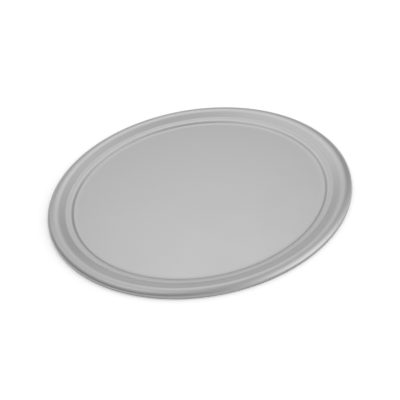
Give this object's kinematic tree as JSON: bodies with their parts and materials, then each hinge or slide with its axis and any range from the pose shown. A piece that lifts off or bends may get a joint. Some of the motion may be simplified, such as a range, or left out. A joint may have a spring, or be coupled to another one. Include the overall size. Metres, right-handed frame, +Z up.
{
  "type": "pizza tray",
  "caption": "Round wide-rim pizza tray of satin aluminium sheet: flat base, small step, banked rim with a rounded shoulder and a hemmed edge.",
  "frame": {"origin": "centre of the base's underside, on the surface that the tray rests on", "axes": "+Z up along the tray's axis of revolution; X and Y are any two level directions"},
  "size_m": [0.305, 0.305, 0.0069],
  "materials": {
    "satin_aluminium": "satin"
  },
  "bodies": {
    "root": {"tray": "satin_aluminium"}
  },
  "joints": []
}
